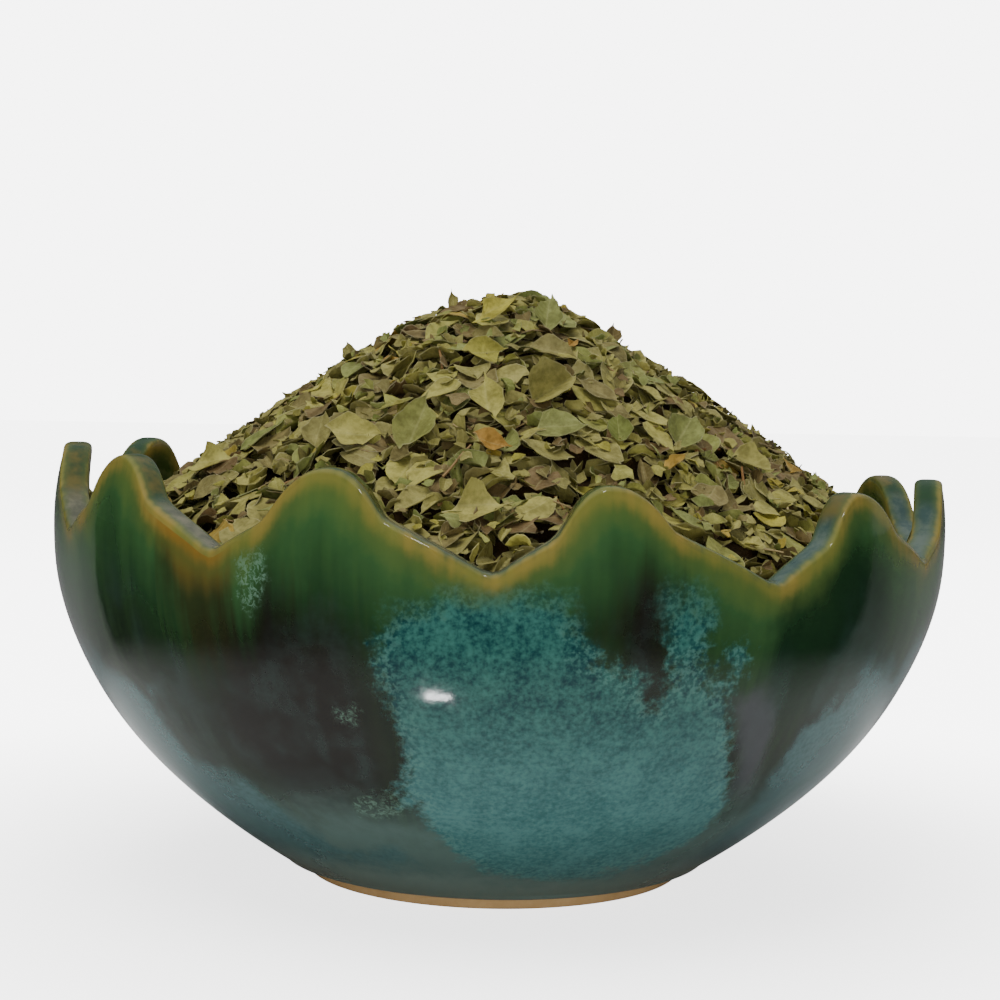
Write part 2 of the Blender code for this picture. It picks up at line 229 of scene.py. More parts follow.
class Nodes:
    """Builds one node tree with short calls. Any input takes a plain value or another node's socket."""

    def __init__(self, tree):
        self.tree = tree

    def feed(self, socket, value):
        if isinstance(value, bpy.types.NodeSocket):
            self.tree.links.new(value, socket)
        elif socket.type == "RGBA":
            socket.default_value = shader_colour(*value)
        else:
            socket.default_value = value

    def node(self, kind, inputs=(), **settings):
        made = self.tree.nodes.new(kind)
        for name, value in settings.items():
            setattr(made, name, value)
        for key, value in dict(inputs).items():
            self.feed(made.inputs[key], value)
        return made

    def math(self, operation, first, second=0.0):
        return self.node("ShaderNodeMath", {0: first, 1: second}, operation=operation).outputs[0]

    def times(self, first, second):
        return self.math("MULTIPLY", first, second)

    def plus(self, first, second):
        return self.math("ADD", first, second)

    def sway(self, value, reach):
        """How far a pattern from 0 to 1 swings to either side of its middle, times reach."""
        return self.times(self.math("SUBTRACT", value, 0.5), reach)

    def clamped_add(self, first, second):
        made = self.node("ShaderNodeMath", {0: first, 1: second}, operation="ADD", use_clamp=True)
        return made.outputs[0]

    def mix(self, share, first, second, blend="MIX"):
        inputs = {0: share, 6: first, 7: second}
        return self.node("ShaderNodeMix", inputs, data_type="RGBA", blend_type=blend).outputs[2]

    def layer(self, under, mask, share, tone):
        """A tone laid over what is under it, where the mask is, up to the given share."""
        return self.mix(self.times(mask, share), under, tone)

    def mix_value(self, share, first, second):
        return self.node("ShaderNodeMix", {0: share, 2: first, 3: second}).outputs[0]

    def step(self, value, low, high, to_low=0.0, to_high=1.0):
        """Eases from to_low to to_high as value goes from low to high."""
        inputs = {"Value": value, "From Min": low, "From Max": high, "To Min": to_low, "To Max": to_high}
        made = self.node("ShaderNodeMapRange", inputs, interpolation_type="SMOOTHSTEP")
        return made.outputs["Result"]

    def ramp(self, share, tones):
        """The colours of tones, a list of (position, colour) from 0 to 1, read at share."""
        made = self.node("ShaderNodeValToRGB", {"Fac": share})
        stops = made.color_ramp.elements
        for index, (position, tone) in enumerate(tones):
            stop = stops[index] if index < 2 else stops.new(position)
            stop.position = position
            stop.color = shader_colour(*tone)
        return made.outputs["Color"]

    def noise(self, vector, scale, detail=3.0, roughness=0.5, distortion=0.0):
        inputs = {"Vector": vector, "Scale": scale, "Detail": detail}
        inputs.update({"Roughness": roughness, "Distortion": distortion})
        return self.node("ShaderNodeTexNoise", inputs).outputs["Fac"]

    def stretch(self, vector, scale):
        return self.node("ShaderNodeMapping", {"Vector": vector, "Scale": scale}).outputs["Vector"]

    def attribute(self, name, output="Fac"):
        return self.node("ShaderNodeAttribute", attribute_name=name).outputs[output]

    def axes(self, vector):
        return self.node("ShaderNodeSeparateXYZ", {"Vector": vector}).outputs

    def group(self, tree, **inputs):
        made = self.node("ShaderNodeGroup", node_tree=tree)
        for name, value in inputs.items():
            self.feed(made.inputs[name], value)
        return made.outputs

    def bump(self, height, strength, distance, normal=None):
        inputs = {"Height": height, "Strength": strength, "Distance": distance}
        if normal:
            inputs["Normal"] = normal
        return self.node("ShaderNodeBump", inputs).outputs["Normal"]


def new_group(name, inputs, outputs):
    tree = bpy.data.node_groups.new(name, "ShaderNodeTree")
    for socket, kind in inputs.items():
        tree.interface.new_socket(socket, in_out="INPUT", socket_type=kind)
    for socket, kind in outputs.items():
        tree.interface.new_socket(socket, in_out="OUTPUT", socket_type=kind)
    nodes = Nodes(tree)
    return nodes, nodes.node("NodeGroupInput").outputs, nodes.node("NodeGroupOutput")


def new_material(name):
    """A material with its node tree, its shader and the place in the object that patterns hang on."""
    material = bpy.data.materials.new(name)
    material.use_nodes = True
    nodes = Nodes(material.node_tree)
    place = nodes.node("ShaderNodeTexCoord").outputs["Object"]
    return material, nodes, material.node_tree.nodes["Principled BSDF"], place


def finish(nodes, shader, colour, roughness, normal):
    for name, value in (("Base Color", colour), ("Roughness", roughness), ("Normal", normal)):
        nodes.feed(shader.inputs[name], value)


def mottle_group():
    """Cloudy blotches with finer ones inside them, from 0 to 1, as glazes and dry leaves have."""
    kinds = {"Vector": "NodeSocketVector", "Scale": "NodeSocketFloat", "Contrast": "NodeSocketFloat"}
    nodes, given, result = new_group("mottle", kinds, {"Fac": "NodeSocketFloat"})
    broad = nodes.noise(given["Vector"], given["Scale"], 2.0, 0.5, 0.4)
    fine = nodes.noise(given["Vector"], nodes.times(given["Scale"], 4.3), 3.0, 0.6)
    both = nodes.plus(nodes.times(broad, 0.62), nodes.times(fine, 0.38))
    centred = nodes.sway(both, given["Contrast"])
    nodes.feed(result.inputs["Fac"], nodes.clamped_add(centred, 0.5))
    return nodes.tree


def grain_group():
    """Fine dry grain, for the height of a bump: bare clay, leaf skin and stalk."""
    kinds = {"Vector": "NodeSocketVector", "Scale": "NodeSocketFloat"}
    nodes, given, result = new_group("grain", kinds, {"Height": "NodeSocketFloat"})
    coarse = nodes.noise(given["Vector"], given["Scale"], 4.0, 0.7)
    fine = nodes.noise(given["Vector"], nodes.times(given["Scale"], 3.1), 2.0, 0.6)
    nodes.feed(result.inputs["Height"], nodes.times(coarse, fine))
    return nodes.tree


# The bowl

GREEN_DARKENS_OVER = 26.0
GREEN_TONES = (
    (0.0, (76, 98, 48)),
    (0.2, (46, 76, 42)),
    (0.5, (29, 54, 29)),
    (0.78, (23, 39, 22)),
    (1.0, (20, 30, 18)),
)


def outer_radius(height):
    if height <= BELLY_HEIGHT:
        rise = 1.0 - max(0.0, height - BELLY_START_HEIGHT) / (BELLY_HEIGHT - BELLY_START_HEIGHT)
        return BELLY_START_RADIUS + (BELLY_RADIUS - BELLY_START_RADIUS) * (1.0 - rise**BELLY_FULLNESS)
    return BELLY_RADIUS - LEAN_IN * ((height - BELLY_HEIGHT) / LEAN_IN_OVER) ** 2


def wall_thickness(height):
    share = min(1.0, height / WALL_THINS_OVER)
    return WALL_ABOVE_FLOOR + share * (2.0 * LIP_HALF_WIDTH - WALL_ABOVE_FLOOR)


def inner_point(height, inset=0.0):
    """The point of the inside that faces the outside's at this height, across the wall."""
    step = 0.1
    lean = (outer_radius(height + step) - outer_radius(height - step)) / (2.0 * step)
    outward = Vector((1.0, -lean)).normalized()
    return Vector((outer_radius(height), height)) - outward * (wall_thickness(height) + inset)


def wall_rows(low, high, count):
    """Heights from low to high, close together near the foot, where the wall is nearly level."""
    return [low + (high - low) * (row / (count - 1)) ** 1.35 for row in range(count)]


def lip_outline():
    """The lip from beside its outer corner over its flat top to its inner one, as (across, up) shares."""
    outline = []
    for index in range(1, LIP_POINTS + 1):
        turn = math.pi * index / LIP_POINTS
        across = math.copysign(abs(math.cos(turn)) ** LIP_ROUNDNESS, math.cos(turn))
        outline.append((across, math.sin(turn) ** LIP_ROUNDNESS))
    return outline


def bowl_outline():
    """Half of the turned wall's section, from the middle of the underside round to the floor's middle."""
    ring_in = FOOT_RADIUS - FOOT_RING_WIDTH
    foot = [
        (0.0, RECESS_DEPTH), (0.4 * RECESS_RADIUS, RECESS_DEPTH), (0.8 * RECESS_RADIUS, RECESS_DEPTH),
        (RECESS_RADIUS - 0.5, RECESS_DEPTH), (RECESS_RADIUS + 0.2, RECESS_DEPTH - 0.3),
        (ring_in - 0.3, 0.4), (ring_in + 0.2, 0.05), (ring_in + 1.2, 0.0),
        (FOOT_RADIUS - 0.9, 0.0), (FOOT_RADIUS - 0.2, 0.15), (FOOT_RADIUS, 0.7),
        (FOOT_RADIUS + 0.3, 1.7), (FOOT_RADIUS + FOOT_FLARE, FOOT_HEIGHT - 0.2),
        (FOOT_RADIUS + FOOT_FLARE + 1.0, FOOT_HEIGHT + 0.05),
        (BELLY_START_RADIUS - 1.1, BELLY_START_HEIGHT - 0.42),
    ]
    lip_base = TURNED_HEIGHT - LIP_HEIGHT
    lip_middle = outer_radius(lip_base) - LIP_HALF_WIDTH
    outside = [(outer_radius(row), row) for row in wall_rows(BELLY_START_HEIGHT, lip_base, OUTSIDE_ROWS)]
    lip = [(lip_middle + across * LIP_HALF_WIDTH, lip_base + up * LIP_HEIGHT)
           for across, up in lip_outline()]
    down = reversed(wall_rows(INSIDE_START, lip_base - 1.2, INSIDE_ROWS))
    inside = [tuple(inner_point(row)) for row in down]
    rise = FLOOR_HEIGHT + FLOOR_RISE
    floor = [(FLOOR_RADIUS, rise), (0.5 * FLOOR_RADIUS, FLOOR_HEIGHT), (0.0, FLOOR_HEIGHT)]
    return [*foot, *outside, *lip, *inside, *floor]


def wave_at(degrees):
    """The wave at this angle, the notch after it and its height, and the angle counted on from it."""
    turn = (degrees - RIM_WAVES[0].notch) % 360.0 + RIM_WAVES[0].notch
    wave = max((wave for wave in RIM_WAVES if wave.notch <= turn), key=lambda wave: wave.notch)
    after = RIM_WAVES[(RIM_WAVES.index(wave) + 1) % len(RIM_WAVES)]
    end = after.notch if after.notch > wave.notch else after.notch + 360.0
    return wave, end, after.notch_height, turn


def rim_height(degrees):
    """The cut rim's height: ramps up out of the notches to a shoulder, and a round crown above it."""
    wave, end, end_height, turn = wave_at(degrees)
    away = abs(turn - wave.crown)
    if turn < wave.crown:
        notch, notch_height = wave.notch, wave.notch_height
        reach, shoulder = wave.reach_before, SHOULDER_BEFORE
    else:
        notch, notch_height = end, end_height
        reach, shoulder = wave.reach_after, SHOULDER_AFTER
    if away < reach:
        height = shoulder + (wave.crown_height - shoulder) * (1.0 - (away / reach) ** CROWN_CURVE)
    else:
        ramp = abs(turn - notch) / (abs(wave.crown - notch) - reach)
        height = notch_height + (shoulder - notch_height) * ramp**RAMP_CURVE
    return height + RIM_SLOPE * BELLY_RADIUS * math.sin(math.radians(degrees))


def petal_bulge(degrees, height):
    """How far the wall swells out under a crown, from nothing at the notches beside it."""
    wave, end, _, turn = wave_at(degrees)
    notch = wave.notch if turn < wave.crown else end
    share = 1.0 - abs(turn - wave.crown) / abs(wave.crown - notch)
    rise = 0.5 + (height - CUT_FROM_HEIGHT) / PETAL_FADES_OVER
    return PETAL_BULGE * smoothstep(share) * smoothstep(rise)


def column_angles():
    """Angles of the wall's columns, evenly spaced in each of a wave's four stretches."""
    angles = []
    for wave in RIM_WAVES:
        end = wave_at(wave.crown)[1]
        bends = (wave.notch, wave.crown - wave.reach_before, wave.crown, wave.crown + wave.reach_after, end)
        for low, high in zip(bends, bends[1:]):
            angles += [low + (high - low) * step / COLUMNS_A_STRETCH for step in range(COLUMNS_A_STRETCH)]
    return angles


def soft_rim(angles):
    """The rim's height at each column, with its sharpest corners rounded by the glaze."""
    heights = np.array([rim_height(angle) for angle in angles])
    for _ in range(2):
        heights = 0.25 * np.roll(heights, 1) + 0.5 * heights + 0.25 * np.roll(heights, -1)
    return heights


def turn_outline(points, columns):
    """A closed solid turned from an outline that starts and ends on the axis, in millimetres."""
    bm = bmesh.new()
    verts = [bm.verts.new((0.0, -radius, height)) for radius, height in points]
    edges = [bm.edges.new(pair) for pair in zip(verts, verts[1:])]
    bmesh.ops.spin(bm, geom=[*verts, *edges], cent=(0.0, 0.0, 0.0), axis=(0.0, 0.0, 1.0), angle=math.tau,
                   steps=columns, use_merge=True)
    bmesh.ops.remove_doubles(bm, verts=bm.verts, dist=0.001)
    bmesh.ops.recalc_face_normals(bm, faces=bm.faces)
    return bm


def cut_rim(bm, angles, tops):
    """Turns the even columns of a turned wall to the given angles, and bends its top to the wavy rim."""
    lip_base = TURNED_HEIGHT - LIP_HEIGHT
    step = 360.0 / len(angles)
    for vert in bm.verts:
        radius = math.hypot(vert.co.x, vert.co.y)
        if radius < 0.1:
            continue
        column = round(math.degrees(math.atan2(vert.co.x, -vert.co.y)) / step) % len(angles)
        degrees = angles[column]
        height = vert.co.z
        top = tops[column] - LIP_HEIGHT
        if height >= lip_base:
            height += top - lip_base
        elif height > CUT_FROM_HEIGHT:
            share = (height - CUT_FROM_HEIGHT) / (lip_base - CUT_FROM_HEIGHT)
            height = CUT_FROM_HEIGHT + share * (top - CUT_FROM_HEIGHT)
        body_height = min(height, top)
        radius += outer_radius(body_height) - outer_radius(min(vert.co.z, lip_base))
        radius += petal_bulge(degrees, body_height)
        turn = math.radians(degrees)
        around = Vector((math.sin(turn), -math.cos(turn), 0.0))
        if height > BELLY_START_HEIGHT:
            spot = Vector((around.x * WOBBLES_ROUND, around.y * WOBBLES_ROUND, height / WOBBLE_HEIGHT))
            uneven = noise.noise(spot)
            radius += HAND_WOBBLE * (uneven - 1.0)
        vert.co = around * radius + Vector((0.0, 0.0, height))


def outline_depth(outline, degrees, heights):
    """How far each point of the wall lies inside a glaze's outline, in millimetres; negative outside."""
    angles = [angle for angle, _ in outline]
    middle = BAND_MIDDLE if max(angles) - min(angles) > NEARLY_ROUND else sum(angles) / len(angles)
    scale = math.radians(BELLY_RADIUS)
    around = ((degrees - middle + 180.0) % 360.0 - 180.0) * scale
    corners = [((angle - middle) * scale, height) for angle, height in outline]
    nearest = np.full(len(degrees), np.inf)
    inside = np.zeros(len(degrees), dtype=bool)
    for (x1, z1), (x2, z2) in zip(corners, [*corners[1:], corners[0]]):
        dx, dz = x2 - x1, z2 - z1
        share = np.clip(((around - x1) * dx + (heights - z1) * dz) / (dx * dx + dz * dz), 0.0, 1.0)
        nearest = np.minimum(nearest, np.hypot(around - x1 - share * dx, heights - z1 - share * dz))
        if dz:
            crosses = (z1 > heights) != (z2 > heights)
            inside ^= crosses & (around < x1 + (heights - z1) * dx / dz)
    return np.clip(np.where(inside, nearest, -nearest), -FIELD_REACH, FIELD_REACH)


def turned_outline(outline, degrees=0.0, lift=0.0, side=1.0):
    """A glaze's outline turned on round the bowl and lifted, mirrored where side is -1."""
    return tuple((side * angle + degrees, height + lift) for angle, height in outline)


def write_values(mesh, name, values, kind="FLOAT"):
    layer = mesh.attributes.new(name, kind, "POINT")
    layer.data.foreach_set("value" if kind == "FLOAT" else "vector", np.ravel(values))


def on_cylinder(degrees, heights):
    """Points of a plain cylinder as wide as the belly, on which the glaze's distances are measured."""
    turns = np.radians(degrees)
    return np.stack((np.sin(turns) * BELLY_RADIUS, -np.cos(turns) * BELLY_RADIUS, heights), axis=1)


def rim_tree(angles, tops):
    """The cut edge as points on the cylinder, one at each column and one between."""
    between = angles + 0.5 * ((np.roll(angles, -1) - angles) % 360.0)
    halfway = 0.5 * (tops + np.roll(tops, -1))
    points = np.concatenate((on_cylinder(angles, tops), on_cylinder(between, halfway)))
    tree = kdtree.KDTree(len(points))
    for index, point in enumerate(points - (0.0, 0.0, LIP_HEIGHT)):
        tree.insert(point, index)
    tree.balance()
    return tree


def map_glaze(mesh, angles, tops):
    """Stores on each point of the wall where it lies: from the cut edge, and in each glaze's outline."""
    places = np.empty(len(mesh.vertices) * 3)
    mesh.vertices.foreach_get("co", places)
    places = places.reshape(-1, 3) / MM
    radius = np.hypot(places[:, 0], places[:, 1])
    degrees = np.degrees(np.arctan2(places[:, 0], -places[:, 1]))
    heights = places[:, 2]
    top = np.interp(degrees % 360.0, *rim_lookup(angles, tops)) - LIP_HEIGHT
    body_height = np.minimum(heights, top)
    middle = np.array([outer_radius(h) - 0.5 * wall_thickness(h) for h in body_height])
    across = (radius - middle) / LIP_HALF_WIDTH
    is_inside = (across < 0.0) & (heights > 0.5 * (FLOOR_HEIGHT + RECESS_DEPTH))
    is_lip = heights > top + 0.02

    edge = rim_tree(np.array(angles), tops)
    wrap = on_cylinder(degrees, heights)
    below_edge = np.array([edge.find(place)[2] for place in wrap])
    on_lip = LIP_HALF_WIDTH * (1.0 - np.minimum(1.0, np.abs(across)))
    write_values(mesh, "edge_gap", np.where(is_lip, on_lip, below_edge))
    write_values(mesh, "lip", is_lip.astype(float))
    write_values(mesh, "inside", is_inside.astype(float))
    write_values(mesh, "wall_wrap", wrap * MM, "FLOAT_VECTOR")
    for name, rows in GLAZE_OUTLINES.items():
        depth = np.max([outline_depth(turned_outline(*row), degrees, heights) for row in rows], axis=0)
        write_values(mesh, name, np.where(is_inside | is_lip, -FIELD_REACH, depth))


def rim_lookup(angles, tops):
    """The rim's heights against angles from 0 to 360, for interpolation."""
    around = np.array(angles) % 360.0
    order = np.argsort(around)
    around, heights = around[order], np.array(tops)[order]
    around = np.concatenate(([around[-1] - 360.0], around, [around[0] + 360.0]))
    return around, np.concatenate(([heights[-1]], heights, [heights[0]]))


def build_bowl(glaze):
    angles = column_angles()
    tops = soft_rim(angles)
    bm = turn_outline(bowl_outline(), len(angles))
    cut_rim(bm, angles, tops)
    bmesh.ops.scale(bm, vec=(MM, MM, MM), verts=bm.verts)
    bowl = add_piece("wave_rim_bowl", bm, glaze, "bowl")
    map_glaze(bowl.data, angles, tops)


def wander(nodes, glaze, cloud, feather, broad, fine):
    """A glaze's stored depth, its shore moved to and fro broadly by a cloud and finely by a feather."""
    swings = nodes.plus(nodes.sway(cloud, broad), nodes.sway(feather, fine))
    return nodes.plus(nodes.attribute(glaze), swings)


def glaze_material(mottle, grain):
    """Layered glaze, from the ground up: green that darkens down the wall, dark runs under a soft grey
    sheen that is a painted reflection, plum and amber runs, teal pours with lacy shores, a smooth band,
    a grey-teal painted reflection of the floor on the lower wall, a pale strip low down that is a
    painted floor reflection made paler against the shade there, gold where it thins at the cut edge,
    and the bare clay foot, its tan painted paler to make up for the shade under the belly."""
    material, nodes, shader, place = new_material("wave_bowl_glaze")
    mix, step, times, plus = nodes.mix, nodes.step, nodes.times, nodes.plus
    layer, sway = nodes.layer, nodes.sway
    wrap = nodes.attribute("wall_wrap", "Vector")
    edge_gap = nodes.attribute("edge_gap")
    spot = nodes.axes(place)
    height = spot["Z"]

    runs = nodes.noise(nodes.stretch(wrap, (1.0, 1.0, 0.1)), 150.0, 2.0, 0.5)
    threads = nodes.noise(nodes.stretch(wrap, (1.0, 1.0, 0.06)), 620.0, 2.0, 0.5)
    clouds = nodes.group(mottle, Vector=place, Scale=55.0, Contrast=1.6)["Fac"]
    blotches = nodes.group(mottle, Vector=place, Scale=150.0, Contrast=1.8)["Fac"]
    flecks = nodes.noise(place, 1150.0, 2.0, 0.6)
    feather = nodes.noise(place, 420.0, 5.0, 0.72)

    depth = plus(times(edge_gap, 1.0 / GREEN_DARKENS_OVER), sway(runs, 0.55))
    depth = nodes.clamped_add(depth, sway(clouds, 0.25))
    colour = nodes.ramp(depth, GREEN_TONES)
    colour = mix(step(threads, 0.4, 0.7, 0.0, 0.22), colour, (52, 80, 40))

    deep = step(wander(nodes, "deep_green", runs, clouds, 9.0, 6.0), -5.0, 3.0)
    colour = layer(colour, deep, 0.85, (12, 34, 18))

    dusk = step(wander(nodes, "dusk", runs, threads, 16.0, 12.0), -8.0, 7.0)
    colour = mix(dusk, colour, mix(clouds, (17, 14, 10), (29, 27, 21)))
    # Soft grey sheen over the dark runs: a painted reflection.
    painted_grey_reflection = plus(times(clouds, 0.55), times(runs, 0.45))
    painted_grey_reflection = times(step(painted_grey_reflection, 0.46, 0.66), step(edge_gap, 6.0, 22.0))
    colour = layer(colour, painted_grey_reflection, 0.23, (58, 82, 78))
    plum = step(wander(nodes, "plum", clouds, runs, 4.0, 3.0), -2.5, 2.5)
    colour = layer(colour, plum, 0.8, (64, 66, 70))

    amber = step(wander(nodes, "amber", threads, clouds, 7.0, 4.0), -3.0, 4.0)
    amber_gap = plus(edge_gap, sway(runs, 9.0))
    amber_tone = mix(step(amber_gap, 1.5, 8.0), (92, 66, 24), (36, 30, 13))
    colour = layer(colour, amber, 0.7, amber_tone)

    low = step(height, 0.050, 0.022)
    pour_depth = wander(nodes, "teal_pour", clouds, feather, 6.0, 10.0)
    high = step(height, 0.054, 0.064)
    pour = step(pour_depth, nodes.mix_value(high, -1.2, -3.0), nodes.mix_value(high, 2.2, 6.5))
    speck = plus(times(blotches, 0.38), times(flecks, 0.62))
    upper_teal = mix(step(speck, 0.26, 0.74), (4, 45, 50), (54, 104, 94))
    lower_teal = mix(step(speck, 0.26, 0.7), (50, 93, 92), (76, 120, 118))
    teal = mix(low, upper_teal, lower_teal)
    shore = times(step(pour_depth, 5.0, 0.8), step(flecks, 0.45, 0.6))
    teal = mix(times(shore, 0.3), teal, (92, 130, 118))
    # Grey-teal over the lower wall: a painted reflection of the pale floor.
    painted_floor_reflection = step(plus(height, times(clouds, 0.014)), 0.038, 0.021)
    colour = layer(colour, painted_floor_reflection, 0.85, (86, 108, 102))
    band_depth = wander(nodes, "low_band", clouds, feather, 11.0, 2.6)
    band = step(band_depth, -2.6, 3.2)
    band_tone = mix(step(speck, 0.2, 0.8), (50, 80, 80), (71, 104, 104))
    colour = layer(colour, band, 0.92, band_tone)
    colour = mix(pour, colour, teal)

    # Pale grey-green just above the foot: a painted reflection of the floor, made paler to make up for the
    # shade under the belly.
    painted_reflection_above_foot = step(plus(height, times(clouds, 0.006)), 0.015, 0.009)
    colour = layer(colour, painted_reflection_above_foot, 0.85, (112, 130, 121))

    lace_depth = wander(nodes, "lace", clouds, feather, 2.0, 6.0)
    threadwork = step(nodes.noise(place, 1050.0, 4.0, 0.7, 0.8), 0.44, 0.62)
    lace = times(step(lace_depth, -1.2, 1.0), threadwork)
    colour = layer(colour, lace, 0.5, (106, 140, 120))

    inner_tone = mix(step(edge_gap, 4.0, 12.0), (38, 60, 24), (66, 78, 72))
    colour = mix(nodes.attribute("inside"), colour, inner_tone)

    lip = nodes.attribute("lip")
    on_crown = step(plus(height, times(clouds, 0.002)), 0.075, 0.0785)
    crown_tone = mix(step(clouds, 0.42, 0.66), (26, 54, 30), (80, 74, 32))
    pooled = step(blotches, 0.3, 0.7)
    notch_tone = mix(step(spot["X"], -0.03, 0.04), mix(pooled, (70, 72, 58), (98, 96, 78)),
                     mix(pooled, (42, 64, 60), (72, 86, 76)))
    pool_tone = mix(on_crown, notch_tone, crown_tone)
    colour = mix(lip, colour, pool_tone)

    gold_gap = plus(edge_gap, sway(clouds, nodes.mix_value(lip, 3.4, 0.8)))
    gold_gap = plus(gold_gap, sway(threads, 1.6))
    gold_gap = times(gold_gap, nodes.mix_value(lip, 1.0, 2.6))
    colour = mix(step(gold_gap, 5.6, 0.4, 0.0, 0.7), colour, (66, 80, 38))
    plain_gold = mix(step(runs, 0.38, 0.62), (104, 104, 48), (126, 110, 52))
    gold = mix(amber, plain_gold, (120, 90, 36))
    colour = mix(step(gold_gap, 2.7, -0.4, 0.0, 0.88), colour, gold)

    # The bare clay's tan, painted paler than it is to make up for the shade under the belly.
    ragged = sway(blotches, 0.0005)
    bare = step(plus(height, ragged), 0.0031, 0.0028)
    colour = mix(bare, colour, mix(blotches, (188, 152, 104), (216, 182, 130)))

    thick = nodes.math("MAXIMUM", pour, band)
    satin = times(thick, step(blotches, 0.3, 0.7, 0.02, 0.07))
    gloss = plus(step(clouds, 0.2, 0.8, 0.05, 0.09), satin)
    roughness = nodes.clamped_add(gloss, times(bare, 0.75))
    shader.inputs["IOR"].default_value = 1.45

    clay_grain = times(nodes.group(grain, Vector=place, Scale=900.0)["Height"], bare)
    skin = plus(times(clouds, 0.5), times(pour, 0.08))
    finish(nodes, shader, colour, roughness, nodes.bump(plus(skin, clay_grain), 0.3, 0.0004))
    return material


# The leaves

def heap_height(x, y):
    cone = HEAP_SLOPE * (math.hypot(x, y, HEAP_ROUNDING) - HEAP_ROUNDING)
    lump = noise.noise(Vector((x, y, 0.0)) / LUMP_SPACING) * HEAP_LUMP
    return HEAP_TOP - cone + lump


def inside_limit(heights):
    """How far out from the axis anything in the heap may reach at these heights."""
    wall = [inner_point(row, WALL_GAP) for row in wall_rows(INSIDE_START, 79.0, 30)]
    return np.interp(heights, [point.y for point in wall], [point.x for point in wall])


class Pile:
    """The heap's top as a grid of heights, which each leaf that comes to rest raises a little."""

    def __init__(self):
        self.side = int(2.0 * GRID_REACH / CELL) + 1
        ticks = np.linspace(-GRID_REACH, GRID_REACH, self.side)
        self.full = np.array([[heap_height(x, y) for y in ticks] for x in ticks])
        self.top = self.full - LAYER_DEPTH

    def cells(self, x, y):
        ticks = (np.rint((side + GRID_REACH) / CELL).astype(int) for side in (x, y))
        return tuple(np.clip(tick, 0, self.side - 1) for tick in ticks)

    def heights(self, x, y):
        return self.top[self.cells(x, y)]

    def room(self, x, y):
        """How far the pile at this spot still is below the full mound."""
        cell = self.cells(np.float64(x), np.float64(y))
        return self.full[cell] - self.top[cell]

    def proud(self, cloud):
        """How far a bit's highest point stands above the full mound."""
        return np.max(cloud[:, 2] - self.full[self.cells(cloud[:, 0], cloud[:, 1])])

    def raise_to(self, cloud):
        np.maximum.at(self.top, self.cells(cloud[:, 0], cloud[:, 1]), cloud[:, 2])

    def settle(self, spread, x, y):
        """Moves a bit's points by x and y, then up until they touch the pile, and says how far up."""
        spread[:, 0] += x
        spread[:, 1] += y
        lift = np.max(self.heights(spread[:, 0], spread[:, 1]) - spread[:, 2])
        spread[:, 2] += lift
        return lift

    def upright(self, x, y, reach):
        """The direction that points away from the pile here, felt over a leaf's own reach."""
        side_x = np.array([x + reach, x - reach, x, x])
        side_y = np.array([y, y, y + reach, y - reach])
        east, west, north, south = self.heights(side_x, side_y)
        slope_x, slope_y = (east - west) / (2.0 * reach), (north - south) / (2.0 * reach)
        slope_x, slope_y = np.clip((slope_x, slope_y), -STEEPEST, STEEPEST)
        return Vector((-slope_x, -slope_y, 1.0)).normalized()


Blade = namedtuple("Blade", "length width start end fold roll curl twist slant ragged seed")


def blade_width(blade, along):
    """A thyme leaf's half width: oval, blunt at its stalk and drawn out to a short tip."""
    oval = math.sin(math.pi * min(0.985, max(0.03, along)) ** 0.82) ** 0.72
    wavy = 1.0 + (0.06 + 1.1 * blade.ragged) * noise.noise(Vector((along * 4.0, blade.seed, 0.0)))
    return 0.5 * blade.width * oval * wavy


def blade_point(blade, along, across):
    """A point of the blade's middle sheet: along from 0 to 1, across from -1 to 1."""
    torn = blade.ragged * noise.noise(Vector((across * 3.1, blade.seed, 4.0)))
    torn += blade.slant * across * (2.0 * along - 1.0)
    along = blade.start + (blade.end - blade.start) * along + torn
    side = across * blade_width(blade, along)
    bend = blade.curl * (along - 0.5)
    if abs(blade.curl) > 0.01:
        reach = blade.length * math.sin(bend) / blade.curl
        rise = blade.length * (1.0 - math.cos(bend)) / blade.curl
    else:
        reach, rise = blade.length * bend, 0.0
    cup = abs(side) * blade.fold + side * side * blade.roll / blade.width
    lean = blade.twist * (along - 0.5)
    wrinkle = 0.4 * noise.noise(Vector((reach * 0.42, side * 0.42, blade.seed)))
    return Vector((
        reach - cup * math.sin(bend),
        side * math.cos(lean) - cup * math.sin(lean),
        rise + cup * math.cos(lean) * math.cos(bend) + side * math.sin(lean) + wrinkle,
    ))


def blade_cloud(blade):
    """The blade's middle sheet as points close enough together to raise every cell that it covers."""
    steps = max(4, int(blade.length / CLOUD_SPACING))
    rows = max(3, int(blade.width / CLOUD_SPACING))
    return np.array([
        blade_point(blade, step / steps, 2.0 * row / rows - 1.0)
        for step in range(steps + 1)
        for row in range(rows + 1)
    ])


def blade_mesh(name, blade, steps, rows, thickness):
    """One closed thin blade. Its points keep where they lie along and across the leaf."""
    bm = bmesh.new()
    along_layer = bm.verts.layers.float.new("along")
    across_layer = bm.verts.layers.float.new("across")
    bmesh.ops.create_grid(bm, x_segments=steps, y_segments=rows, size=0.5)
    for vert in bm.verts:
        along, across = vert.co.x + 0.5, 2.0 * vert.co.y
        vert[along_layer] = along
        vert[across_layer] = across
        vert.co = blade_point(blade, along, across)
    grown = bmesh.ops.extrude_face_region(bm, geom=list(bm.faces))
    raised = [item for item in grown["geom"] if isinstance(item, bmesh.types.BMVert)]
    bmesh.ops.translate(bm, verts=raised, vec=(0.0, 0.0, thickness))
    bmesh.ops.recalc_face_normals(bm, faces=bm.faces)
    mesh = finished_mesh(name, bm)
    mesh.attributes.new("tint", "FLOAT", "POINT")
    return mesh


